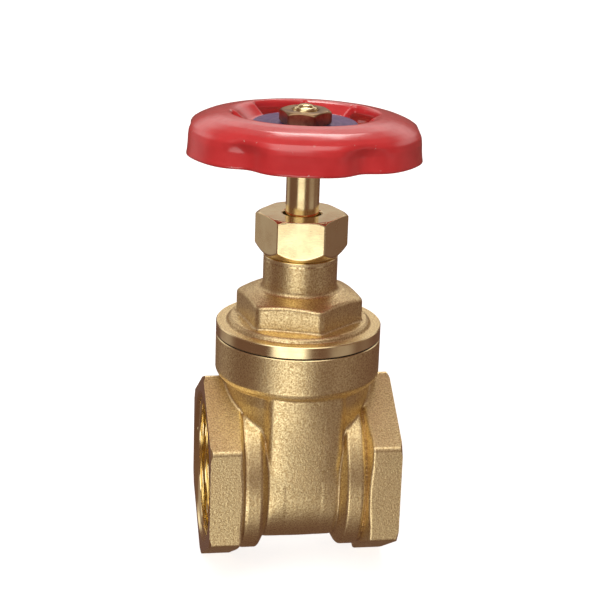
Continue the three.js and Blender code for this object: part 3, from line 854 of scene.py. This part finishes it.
def port_cutter(side):
    """Mouth chamfer and taper pipe thread as one ring-by-ring solid."""
    count = 120
    angles = circle(count)
    stations = []
    for x in np.concatenate([[40.5, 39.0, 38.0, 37.4], np.arange(CHAMFER_START, 19.6, -0.26),
                             [19.4, 19.0, 18.5]]):
        if x >= CHAMFER_START:
            radius = 30.0 + (x - CHAMFER_START) * 0.95
        else:
            depth = 0.68 * min(1.0, max(0.0, (x - 20.6) / 1.6)) * min(1.0, (37.4 - x) / 0.8)
            wave = thread_wave(x, PORT_PITCH, angles, hand=-1)
            radius = 29.15 + (x - 30.0) / 32.0 + depth * wave
        stations.append((side * x, radius))
    return stack(rings(stations, count, "X"))


def seat_cutter(side):
    """Disc on one side of the cavity, cut back to the leaning seat face."""
    disc = turned_cutter([(radius, side * x) for radius, x in SEAT_RIM], 128, "X")
    low, high = -30, 60
    half_low, half_high = (8.15 + z * GATE_SLOPE for z in (low, high))
    gap = [(-half_low, low), (half_low, low), (half_high, high), (-half_high, high)]
    boolean(disc, prism(gap, -40, 40, "Y"))
    return disc


def rib(side, near, far, bottom):
    y0, y1 = sorted((side * near, side * far))
    return box((-RIB_HALF, y0, bottom), (RIB_HALF, y1, RIB_TOP))


def body_cavity():
    arc = [(CAVITY_RADIUS * math.cos(t), CAVITY_RADIUS * math.sin(t))
           for t in np.linspace(math.pi, TAU, 65)]
    outline = [(-CAVITY_RADIUS, OPEN_TOP)] + arc + [(CAVITY_RADIUS, OPEN_TOP)]
    cavity = prism(outline, -CAVITY_HALF, CAVITY_HALF, "X")
    for side in (-1, 1):
        boolean(cavity, seat_cutter(side))
    for side in (-1, 1):
        boolean(cavity, rib(side, near=22.5, far=27.2, bottom=-8))

    outline = [(-x, z) for x, z in THROAT] + THROAT[::-1]
    throat = prism(outline, -33, 33, "Y")
    boolean(throat, cylinder(SEAT_RADIUS, 18, OPEN_TOP, 128), "INTERSECT")
    for side in (-1, 1):
        boolean(throat, rib(side, near=24.0, far=33.0, bottom=10))
    boolean(cavity, throat, "UNION")

    boolean(cavity, cylinder(BORE_RADIUS, -30, 30, 128, "X"), "UNION")
    stations = [(43.8, 25.0), (43.8, 28.4), (44.4, 29.0)]
    stations += thread(44.8, 55.9, radius=28.95, depth=0.9, pitch=FINE_PITCH,
                       count=120, step=0.25, runout=0.8)
    stations += [(56.4, 29.1), (57.1, 29.8), (58.5, 31.2)]
    boolean(cavity, stack(rings(stations, 120)), "UNION")
    return cavity


def build_body():
    points, quads, _ = surface_mesh(body_field, (-41.4, -37, -41.5), (41.4, 37, 61.5), 0.62)
    body = solid(points, [quads], "valve_body_casting")
    boolean(body, turned_cutter(NECK_FACE, 128))
    for side in (-1, 1):
        boolean(body, turned_cutter([(r, side * x) for r, x in PORT_FACE], 144, "X"))
    boolean(body, body_cavity())
    for side in (-1, 1):
        boolean(body, port_cutter(side))
    weld(body)

    cut = ~field_normals(body.data, body_field)
    centres, normals = face_data(body.data)
    pipe_r = np.hypot(centres[:, 1], centres[:, 2])
    ax = np.abs(centres[:, 0])
    port = (ax > 37.1) | ((ax > 18.3) & (pipe_r < 30.6)) | (pipe_r < 21.9)
    seat = (np.abs(normals[:, 0]) > 0.98) & (pipe_r < 25.7) & (ax < 10)
    neck = (centres[:, 2] > 43.7) & (np.hypot(centres[:, 0], centres[:, 1]) > 25.2)
    index = np.zeros(len(cut), int)
    index[cut & (port | seat)] = 1
    index[cut & neck] = 2
    finish_piece(body, "body", [CAST, TURNED_X, TURNED_Z], index)


# ==============================================================================================
# Bonnet
# ==============================================================================================
BONNET_TURN = math.radians(-108.7)
BONNET_HEX = 22.5       # half across the flats
GLAND_NECK = 14.75      # radius of the neck under the gland nut

# (radius, height) of the domed top of the hexagon
DOME = smooth_curve(0, 60, [(0, 76.9), (17.2, 76.1), (25.2, 73.7), (30, 71.9), (60, 60.6)],
                    sigma=0.8)
# (radius, height) of the flange under the hexagon
FLANGE = Profile([
    (0, 55), (36, 55), (36, 62.4), (28.7, 62.4), (28.3, 63.5), (27.3, 64.3), (24, 64.7),
    (0, 64.7)], (0, 40), (45, 100), sigma=0.26)
# (radius, height) of all that turning leaves of the casting
BONNET_ENVELOPE = [
    (0, 52), (27.2, 52), (27.2, 57.65), (32.75, 57.65), (33.0, 57.9), (33.0, 62.05),
    (32.7, 62.38), (32.7, 87.5), (15.2, 88.15), (14.72, 88.35), (14.72, 89.6), (0, 89.6)]
# (radius, height, corner radius) of the hollow
BONNET_HOLLOW = [
    (0, 44), (25.0, 44), (25.0, 55, 1.5), (23.6, 58, 1.5), (20.8, 62, 1.5), (17.0, 66, 1.5),
    (12.4, 70.6, 0.5), (12.4, 83.5), (0, 83.5)]
# (radius, height) of the stuffing box
PACKING_WELL = [(0, 86), (10.0, 86), (10.0, 99.8), (10.6, 100.4), (10.6, 101.4), (0, 101.4)]


def bonnet_field(x, y, z):
    r = np.hypot(x, y)
    flats = hexagon(x, y, BONNET_TURN, 2.0) - BONNET_HEX
    head = np.maximum(smax(flats, curve_distance(DOME, r, z), 1.3), 50 - z)
    neck = np.maximum(r - GLAND_NECK, np.abs(z - 76) - 15.5)
    return smin(smin(head, neck, 2.4), FLANGE.at(r, z), 1.1)


def build_bonnet():
    points, quads, _ = surface_mesh(bonnet_field, (-38, -38, 48.5), (38, 38, 93), 0.5)
    bonnet = solid(points, [quads], "bonnet_casting")
    boolean(bonnet, turned_cutter(BONNET_ENVELOPE, 192), "INTERSECT")

    # lower thread, into the body
    stations = [(45.0, 26.8), (45.1, 27.2), (46.0, 28.1)]
    stations += thread(46.3, 55.2, radius=28.25, depth=0.8, pitch=FINE_PITCH,
                       count=120, step=0.25, runout=0.8)
    stations += [(55.8, 27.9), (56.3, 27.3), (57.9, 27.3)]
    boolean(bonnet, stack(rings(stations, 120)), "UNION")

    # collar and thread for the gland nut
    stations = [(88.9, 14.0), (88.9, 14.66), (89.0, 14.74), (90.05, 14.74), (90.25, 14.62),
                (90.5, 14.2), (90.5, 13.1), (91.0, 13.1)]
    stations += thread(91.1, 99.7, radius=13.15, depth=0.7, pitch=FINE_PITCH,
                       count=96, step=0.2, runout=0.6)
    stations += [(99.9, 13.1), (100.4, 12.6)]
    boolean(bonnet, stack(rings(stations, 96)), "UNION")

    boolean(bonnet, turned_cutter(BONNET_HOLLOW, 96))
    boolean(bonnet, cylinder(6.75, 80, 90, 64))
    boolean(bonnet, turned_cutter(PACKING_WELL, 64))
    weld(bonnet)

    cut = ~field_normals(bonnet.data, bonnet_field)
    centres, _ = face_data(bonnet.data)
    r, z = np.hypot(centres[:, 0], centres[:, 1]), centres[:, 2]
    index = np.where(cut & ((r > 32.5) | (z > 88.25) | (z < 57.8)), 1, 0)
    finish_piece(bonnet, "bonnet", [CAST, TURNED_Z], index)


# ==============================================================================================
# Handwheel
# ==============================================================================================
NOTCH_START = math.radians(-98.1)       # notches lie half a pitch on from this angle
NOTCH_PITCH = math.pi / 3
NOTCH_WIDTH = math.radians(9.5)
WINDOW_MIDDLE = math.radians(104.7)     # centre of one of the four windows
WINDOW_PITCH = math.pi / 2
WHEEL_SQUARE = 5.15                     # half width of the square hole
LEAN = math.tan(math.radians(2.3))      # tilt of the wheel outside its hub
LEAN_X, LEAN_Y = math.cos(math.radians(-108)), math.sin(math.radians(-108))

# (radius, height): top surface outwards, round the lip, underside back in
WHEEL = Profile([
    (0, 142.4), (20.9, 142.4), (22.3, 142.75), (24.6, 144.6), (26.6, 146.35), (28.2, 147.1),
    (29.8, 147.3), (33, 146.8), (36.5, 145.7), (40.0, 144.15), (42.3, 142.7), (43.7, 141.0),
    (44.25, 138.8), (44.4, 136.0), (44.65, 133.4), (45.0, 131.6), (44.4, 130.95),
    (42.6, 131.0), (41.7, 131.7), (41.35, 134), (41.1, 137.4), (40.2, 139.4), (38.4, 140.5),
    (36, 141.8), (33, 143.2), (30, 143.9), (27.9, 143.2), (25.6, 141.3), (23.6, 139.8),
    (21.5, 139.2), (13.2, 139.2), (11.5, 138.4), (10.5, 135.0), (9.7, 134.0), (0, 134.0)],
    (0, 124), (56, 154), sigma=0.38)


def rim_shift(angle, z):
    """Radial shift of the rim: six notches in the skirt that run out over the shoulder."""
    off = (angle - NOTCH_START) % NOTCH_PITCH - NOTCH_PITCH / 2
    depth = 0.35 + 3.95 * ease((144.2 - z) / 7.0)
    return 2.3 - depth * np.exp(-((off / NOTCH_WIDTH) ** 2))


def wheel_field(x, y, z):
    r, angle = np.hypot(x, y), np.arctan2(y, x)
    z = z - LEAN * ease((r - 21.2) / 8.4) * (x * LEAN_X + y * LEAN_Y)
    shift = rim_shift(angle, z)
    t = np.clip((r - 27.0) / 15.0, 0, 1)
    wheel = WHEEL.at(r - shift * ease(t), z - 0.10 * shift * t * (1 - t) * 2)

    off = (angle - WINDOW_MIDDLE + WINDOW_PITCH / 2) % WINDOW_PITCH - WINDOW_PITCH / 2
    window = rounded_corner(np.abs(r - 23.3) - 5.3, r * (np.abs(off) - math.radians(23)), 1.6)
    wheel = smax(wheel, -window, 1.5)
    square = np.maximum(np.abs(x), np.abs(y)) - WHEEL_SQUARE
    return smax(wheel, -square, 0.4)


# ==============================================================================================
# Stem
# ==============================================================================================
STEM_RADIUS = 6.6
STEM_SQUARE = 5.0       # half width of the square that carries the wheel
SQUARE_TOP = 142.3


def build_stem():
    count = 96
    angles = circle(count)
    reach = np.maximum(np.abs(np.cos(angles)), np.abs(np.sin(angles)))
    square = np.minimum(STEM_SQUARE / reach, 6.45)      # corners turned down
    # (height, radius), from the foot up
    stations = [(STEM_FOOT, 0.5), (STEM_FOOT, 3.9), (24.3, 4.3)]
    stations += thread(24.8, 73.2, radius=5.15, depth=1.1, pitch=3.0,
                       count=count, step=0.3, runout=1.2, hand=-1)
    # neck and collar
    stations += [
        (73.6, 4.9), (74.2, 4.7), (75.6, 4.7), (76.0, 5.1), (76.9, 6.45), (77.2, STEM_RADIUS),
        (80.2, STEM_RADIUS), (80.45, 6.8), (80.45, 10.5), (80.6, 10.72), (80.85, 10.8),
        (82.9, 10.8), (83.15, 10.72), (83.3, 10.5), (83.3, 6.8), (83.5, STEM_RADIUS)]
    stations += [(z, STEM_RADIUS) for z in np.linspace(84, 133.2, 26)]
    stations += [(133.55, 6.53), (133.75, 6.35), (133.8, 6.1)]
    stations += [(133.8, square * 0.99), (134.1, square), (142.0, square),
                 (SQUARE_TOP, square * 0.97), (SQUARE_TOP, 4.75)]
    stations += thread(142.6, 148.5, radius=4.62, depth=0.52, pitch=1.25,
                       count=count, step=0.125, runout=0.5)
    # domed tip
    stations += [
        (148.75, 4.62), (149.1, 4.5), (149.35, 4.2), (149.45, 3.9), (149.5, 3.55),
        (149.62, 3.3), (149.85, 3.1), (150.1, 2.8), (150.32, 2.35), (150.47, 1.8),
        (150.57, 1.15), (150.6, 0.45)]
    stem = stack(rings(stations, count), name="stem_turned")
    smooth_by_angle(stem.data, 34)
    finish_piece(stem, "stem", [TURNED_Z])


# ==============================================================================================
# Gland nut, handwheel nut, gate wedge, retaining ring
# ==============================================================================================
COS_30, COS_45 = 0.866, 0.7071      # bevel directions
GLAND_TURN, GLAND_HEX = math.radians(-99.3), 16.0
GLAND_BOTTOM, GLAND_TOP, GLAND_HOLE = 90.8, 107.3, 7.5
NUT_TURN, NUT_HEX = math.radians(-108.5), 9.1
NUT_BOTTOM, NUT_TOP, NUT_HOLE = 143.2, 148.5, 5.05


def gland_field(x, y, z):
    r = np.hypot(x, y)
    flats = hexagon(x, y, GLAND_TURN, 0.45) - GLAND_HEX
    top_bevel = (r - 16.9) * 0.5 + (z - GLAND_TOP) * COS_30
    bottom_bevel = (r - 14.8) * 0.722 - (z - GLAND_BOTTOM) * 0.692
    nut = smax(flats, top_bevel, 0.35)
    nut = smax(nut, bottom_bevel, 0.45)
    nut = smax(nut, z - GLAND_TOP, 0.35)
    nut = smax(nut, GLAND_BOTTOM - z, 0.35)
    hole = smin(r - GLAND_HOLE, ((r - GLAND_HOLE) - (z - 106.8)) * COS_45, 0.2)
    inner = np.maximum(r - 13.7, z - 103.3)
    return smax(smax(nut, -hole, 0.25), -inner, 0.3)


def gland_faces(centres, normals):
    return np.where(np.abs(normals[:, 2]) > 0.35, 1, 0)


def nut_field(x, y, z):
    r = np.hypot(x, y)
    flats = hexagon(x, y, NUT_TURN, 0.55) - NUT_HEX
    top_bevel = (r - 9.0) * 0.5 + (z - NUT_TOP) * COS_30
    bottom_bevel = (r - 9.35) * 0.5 - (z - NUT_BOTTOM) * COS_30
    nut = smax(smax(flats, top_bevel, 0.5), bottom_bevel, 0.4)
    nut = smax(smax(nut, z - NUT_TOP, 0.45), NUT_BOTTOM - z, 0.3)
    hole = smin(r - NUT_HOLE, ((r - NUT_HOLE) - (z - 147.9)) * COS_45, 0.2)
    return smax(nut, -hole, 0.25)


def wedge_field(x, y, z):
    ax, pipe_r, stem_r = np.abs(x), np.hypot(y, z), np.hypot(x, y)
    faces = (ax - (8.0 + z * GATE_SLOPE)) * math.cos(GATE_ANGLE)
    disc = smax(faces, pipe_r - 23.8, 0.7)
    lug = smax(smax(stem_r - 9.5, z - 30.5, 0.9), ax - 8.4, 0.7)
    lug = np.maximum(lug, 8 - z)
    wedge = smin(disc, lug, 1.6)
    # slots at +Y and -Y, a round recess in each face and a bore up the middle
    slots = np.maximum(ax - 2.2, 21.4 - np.abs(y))
    wedge = smax(wedge, -slots, 0.4)
    recess = np.maximum(pipe_r - 12.5, 7.55 + z * GATE_SLOPE - ax)
    wedge = smax(wedge, -recess, 0.5)
    bore = np.maximum(stem_r - 5.98, -21.6 - z)
    return smax(wedge, -bore, 0.4)


def wedge_faces(centres, normals):
    outer = np.hypot(centres[:, 1], centres[:, 2]) > 12.2
    return np.where((np.abs(normals[:, 0]) > 0.9) & outer, 0, 1)


def retaining_ring_field(x, y, z):
    r = np.hypot(x, y)
    ring = smax(smax(r - 12.2, 6.9 - r, 0.2), smax(z - 80.2, 76.4 - z, 0.2), 0.35)
    # notches in the underside at +Y and -Y
    notches = np.maximum(np.maximum(np.abs(x) - 1.2, 9.1 - np.abs(y)), z - 77.8)
    return smax(ring, -notches, 0.25)


# ==============================================================================================
# Assembly
# ==============================================================================================
PACKING_BOTTOM, PACKING_PITCH, PACKING_HEIGHT = 87.2, 3.5, 3.4


def block(inner, outer, bottom, top):
    """Rectangular ring section."""
    return [(inner, bottom), (outer, bottom), (outer, top), (inner, top)]


def build_valve():
    build_body()
    build_bonnet()
    field_piece("handwheel_casting", "handwheel", [RED], wheel_field,
                (-49.4, -49.4, 126.9), (49.4, 49.4, 149.4), step=0.56, passes=2, probe=0.12)
    build_stem()
    field_piece("gland_nut_hex", "gland_nut", [MILLED, TURNED_Z], gland_field,
                (-19.5, -19.5, 90.0), (19.5, 19.5, 108.1), step=0.27, pick=gland_faces)
    field_piece("handwheel_nut_hex", "handwheel_nut", [BRONZE], nut_field,
                (-11.4, -11.4, 142.7), (11.4, 11.4, 149.1), step=0.16, probe=0.05)
    field_piece("gate_wedge_disc", "gate_wedge", [TURNED_X, CAST], wedge_field,
                (-12, -25, -25), (12, 25, 31.6), step=0.45, pick=wedge_faces)
    # turned rings; their outlines are (radius, height)
    ring_piece("bonnet_gasket_ring", "bonnet_gasket", GASKET,
               [(29.2, 57.15), (32.35, 57.15), (32.45, 57.38), (32.35, 57.6), (29.2, 57.6)],
               count=128, corner=0.06)
    ring_piece("handwheel_plate_disc", "handwheel_plate", PLATE,
               [(6.2, 142.55), (20.5, 142.55), (20.6, 142.8), (20.35, 143.1), (20.0, 143.04),
                (6.6, 143.0), (6.2, 142.9)], count=128, corner=0.12)
    ring_piece("packing_washer", "packing_base_washer", TURNED_Z,
               block(6.8, 9.8, 86.1, 87.1), count=64, corner=0.15)
    for k in range(3):
        bottom = PACKING_BOTTOM + k * PACKING_PITCH
        ring_piece(f"packing_turn_{k + 1}", f"packing_ring_{k + 1}", PACKING,
                   block(6.7, 9.88, bottom, bottom + PACKING_HEIGHT), count=64, corner=0.7)
    ring_piece("gland_follower_bush", "gland_follower", TURNED_Z,
               [(6.8, 97.8), (9.7, 97.8), (9.7, 100.6), (12.4, 100.6), (12.4, 102.6),
                (12.0, 103.1), (6.8, 103.1)], count=64, corner=0.2)
    field_piece("stem_retaining_ring_turned", "stem_retaining_ring",
                [TURNED_Z], retaining_ring_field, (-13, -13, 75.8), (13, 13, 80.9), step=0.3)


# ==============================================================================================
# Camera, floor and light
# ==============================================================================================
# The camera stands towards -Y, swung clockwise seen from above, and aims near the pipe axis.
CAMERA_SWING = math.radians(9.22)
CAMERA_ELEVATION = math.radians(23.6)
CAMERA_DISTANCE = 0.7235                # metres
CAMERA_PAN, CAMERA_TILT, CAMERA_ROLL = (math.radians(a) for a in (0.03, 5.34, 1.96))
CAMERA_LENS = 104.844                   # mm, on a 36 mm sensor

FLOOR_HALF = 14.0                       # metres
FLOOR_DROP = 0.00005
FLOOR_GLOW = 0.80

# Light panels in degrees: azimuth from, to (0 at the camera, positive to its right),
# elevation from, to, edge softness in azimuth, in elevation; then power
PANELS = [
    (-33, 12, -62, -14, 7, 4, 1.85),      # lit table in front, a little to the left
    (-52, 8, 18, 56, 14, 10, 1.65),       # soft light above the camera
    (-78, 72, 56, 89, 16, 10, 1.9),       # overhead light
    (-135, -104, -30, 30, 10, 14, 0.25),  # left fill
    (95, 122, -30, 30, 12, 14, 0.06),     # right fill
    (48, 84, -34, -8, 10, 8, 0.22),       # dim reflector low on the right
]
# The same columns, with azimuth 0 straight behind the valve
BACK_PANELS = [
    (-11, 17, 40, 53, 3, 3, 5.0),         # softbox above and behind
    (-70, 70, 15, 32, 14, 7, 0.70),       # pale wall behind
]
PANEL_TINT = (1.0, 0.985, 0.95)
BASE_LOW = (0.130, 0.068, 0.053)
BASE_HIGH = (0.215, 0.130, 0.106)
BASE_SPAN = (-60.0, 75.0)               # elevations the base colour fades between


def turn_pair(a, b, angle):
    """Turn two square directions in their plane, a towards b."""
    c, s = math.cos(angle), math.sin(angle)
    return a * c + b * s, b * c - a * s


def build_camera():
    place = Vector((0, -CAMERA_DISTANCE * math.cos(CAMERA_ELEVATION),
                    CAMERA_DISTANCE * math.sin(CAMERA_ELEVATION)))
    forward = -place.normalized()
    right = Vector((1, 0, 0))
    up = right.cross(forward)
    forward, right = turn_pair(forward, right, CAMERA_PAN)
    forward, up = turn_pair(forward, up, CAMERA_TILT)
    right, up = turn_pair(right, up, CAMERA_ROLL)

    c, s = math.cos(-CAMERA_SWING), math.sin(-CAMERA_SWING)
    place, right, up, back = (Vector((c * v.x - s * v.y, s * v.x + c * v.y, v.z))
                              for v in (place, right, up, -forward))
    data = bpy.data.cameras.new("camera")
    data.sensor_width = 36.0
    data.lens = CAMERA_LENS
    data.clip_start = 0.01
    camera = new_object("camera", data)
    matrix = Matrix((right, up, back)).transposed().to_4x4()
    matrix.translation = place + Vector((0, 0, LIFT * MM))
    camera.matrix_world = matrix
    bpy.context.scene.camera = camera


def build_floor():
    """Pale glowing paper to the camera, dim brown to every other ray."""
    s, z = FLOOR_HALF, cad_box[0][2] - FLOOR_DROP
    mesh = bpy.data.meshes.new("floor")
    mesh.from_pydata([(-s, -s, z), (s, -s, z), (s, s, z), (-s, s, z)], [], [(0, 1, 2, 3)])
    floor = new_object("floor", mesh)
    material = bpy.data.materials.new("floor_paper")
    k = Tree(material)
    k.tree.nodes.clear()
    paper = k.node("BsdfDiffuse", {"Color": (0.62, 0.62, 0.62)}).outputs[0]
    glow = k.node("Emission", {"Color": (1, 1, 1), "Strength": FLOOR_GLOW}).outputs[0]
    seen = k.node("AddShader", {0: paper, 1: glow}).outputs[0]
    dim = k.node("BsdfDiffuse", {"Color": (0.30, 0.29, 0.27)}).outputs[0]
    k.node("OutputMaterial", {0: k.camera_switch(seen=seen, other=dim)})
    mesh.materials.append(material)
    floor.visible_glossy = False
    floor.visible_shadow = False


def build_world():
    """Light panels painted on the sky; the camera itself sees plain white."""
    world = bpy.data.worlds.new("studio")
    bpy.context.scene.world = world
    k = Tree(world)
    k.tree.nodes.clear()
    direction = k.node("TexCoord").outputs["Generated"]
    turned = k.node("VectorRotate", {"Vector": direction, "Angle": CAMERA_SWING},
                    rotation_type="Z_AXIS").outputs[0]
    x, y, z = k.node("SeparateXYZ", {0: turned}).outputs

    def degrees(*operation):
        return k.math("MULTIPLY", k.math(*operation), 180 / math.pi)

    front = degrees("ARCTAN2", x, k.math("MULTIPLY", y, -1.0))
    behind = degrees("ARCTAN2", x, y)
    elevation = degrees("ARCSINE", z)

    def band(value, low, high, soft):
        rise = k.ramp(value, span=(low - soft, low + soft))
        fall = k.ramp(value, span=(high - soft, high + soft))
        return k.math("MULTIPLY", rise, k.math("SUBTRACT", 1.0, fall))

    total = None
    for azimuth, panels in ((front, PANELS), (behind, BACK_PANELS)):
        for left, right, bottom, top, soft_across, soft_up, power in panels:
            shape = k.math("MULTIPLY", band(azimuth, left, right, soft_across),
                           band(elevation, bottom, top, soft_up))
            panel = k.math("MULTIPLY", shape, power)
            total = panel if total is None else k.math("ADD", total, panel)

    base = k.mix(k.ramp(elevation, span=BASE_SPAN), BASE_LOW, BASE_HIGH)
    light = k.node("CombineColor", {
        i: k.math("MULTIPLY", total, tint) for i, tint in enumerate(PANEL_TINT)}).outputs[0]
    studio = k.node("Background", {"Color": k.mix(1.0, base, light, blend="ADD")}).outputs[0]
    white = k.node("Background", {"Color": (1, 1, 1)}).outputs[0]
    k.node("OutputWorld", {0: k.camera_switch(seen=white, other=studio)})


build_valve()
build_camera()
build_floor()
build_world()
bpy.context.scene.view_settings.view_transform = "Standard"
